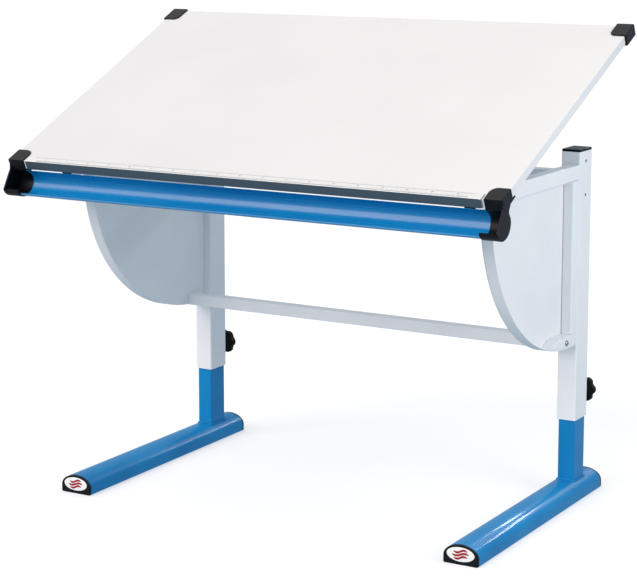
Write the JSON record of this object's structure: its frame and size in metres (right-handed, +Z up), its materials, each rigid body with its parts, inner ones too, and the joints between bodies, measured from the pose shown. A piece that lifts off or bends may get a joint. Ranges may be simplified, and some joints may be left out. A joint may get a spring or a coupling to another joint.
{
  "type": "height-adjustable drafting desk",
  "caption": "Child's drafting desk with a tilting top, a pencil tray and ruler rail along its front edge, and telescoping steel legs on long feet.",
  "frame": {"origin": "on the floor, under the middle of the bounding box", "axes": "+X along the desk to the right of someone sitting at it, +Y away from the sitter, +Z up"},
  "size_m": [1.0826, 0.6654, 0.9576],
  "materials": {
    "white_powder_coat": "satin white powder coat on steel",
    "blue_powder_coat": "satin blue powder coat on steel",
    "black_plastic": "moulded black plastic, fine texture",
    "white_laminate": "white melamine on chipboard, matt",
    "aluminium_ruler": "satin anodised extrusion",
    "blue_tray_plastic": "extruded blue plastic, semi-gloss",
    "zinc_plated_steel": "zinc plated",
    "nylon": "natural nylon",
    "rubber": "matt moulded rubber",
    "badge_enamel": "gloss white oval with a plain red pattern"
  },
  "bodies": {
    "base": {"left_foot": "blue_powder_coat", "left_foot_front_cap": "black_plastic", "left_foot_back_cap": "black_plastic", "left_foot_badge": "badge_enamel", "left_leg": "blue_powder_coat", "left_leg_glide": "nylon", "right_foot": "blue_powder_coat", "right_foot_front_cap": "black_plastic", "right_foot_back_cap": "black_plastic", "right_foot_badge": "badge_enamel", "right_leg": "blue_powder_coat", "right_leg_glide": "nylon"},
    "frame": {"left_post": "white_powder_coat", "left_post_cap": "black_plastic", "left_top_bar": "white_powder_coat", "left_bar_plug": "black_plastic", "left_stile": "white_powder_coat", "left_rim": "white_powder_coat", "left_lug": "white_powder_coat", "left_side_sheet": "white_powder_coat", "left_stretcher_bolt": "zinc_plated_steel", "left_rail_bolt_low": "zinc_plated_steel", "left_rail_bolt_high": "zinc_plated_steel", "left_pivot_bolt": "zinc_plated_steel", "left_clamp_stud": "zinc_plated_steel", "left_clamp_washer": "zinc_plated_steel", "right_post": "white_powder_coat", "right_post_cap": "black_plastic", "right_top_bar": "white_powder_coat", "right_bar_plug": "black_plastic", "right_stile": "white_powder_coat", "right_rim": "white_powder_coat", "right_lug": "white_powder_coat", "right_side_sheet": "white_powder_coat", "right_stretcher_bolt": "zinc_plated_steel", "right_rail_bolt_low": "zinc_plated_steel", "right_rail_bolt_high": "zinc_plated_steel", "right_pivot_bolt": "zinc_plated_steel", "right_clamp_stud": "zinc_plated_steel", "right_clamp_washer": "zinc_plated_steel", "stretcher": "white_powder_coat", "rear_rail": "white_powder_coat"},
    "top": {"tabletop": "white_laminate", "ruler_rail": "aluminium_ruler", "pencil_tray": "blue_tray_plastic", "left_tray_cap": "black_plastic", "left_rear_clip": "black_plastic", "left_tilt_quadrant": "zinc_plated_steel", "left_rest_buffer": "rubber", "right_tray_cap": "black_plastic", "right_rear_clip": "black_plastic", "right_tilt_quadrant": "zinc_plated_steel", "right_rest_buffer": "rubber"},
    "left_knob": {"left_height_knob": "black_plastic", "left_height_screw": "zinc_plated_steel"},
    "right_knob": {"right_height_knob": "black_plastic", "right_height_screw": "zinc_plated_steel"},
    "left_clamp": {"left_clamp_knob": "black_plastic"},
    "right_clamp": {"right_clamp_knob": "black_plastic"}
  },
  "joints": [
    {"name": "height_slide", "type": "slide", "parent": "base", "child": "frame", "axis": [0, 0, 1], "range_m": [-0.11, 0.13]},
    {"name": "top_tilt", "type": "hinge", "parent": "frame", "child": "top", "pos_m": [0, -0.19, 0.6665], "axis": [1, 0, 0], "range_deg": [-24.5, 10.5]},
    {"name": "left_height_turn", "type": "hinge", "parent": "frame", "child": "left_knob", "pos_m": [-0.436, 0.3, 0.2095], "axis": [0, 1, 0], "range_deg": [0, 450]},
    {"name": "right_height_turn", "type": "hinge", "parent": "frame", "child": "right_knob", "pos_m": [0.436, 0.3, 0.2095], "axis": [0, 1, 0], "range_deg": [0, 450]},
    {"name": "left_clamp_turn", "type": "hinge", "parent": "frame", "child": "left_clamp", "pos_m": [-0.412, -0.04, 0.6665], "axis": [1, 0, 0], "range_deg": [0, 450]},
    {"name": "right_clamp_turn", "type": "hinge", "parent": "frame", "child": "right_clamp", "pos_m": [0.412, -0.04, 0.6665], "axis": [-1, 0, 0], "range_deg": [0, 450]}
  ]
}
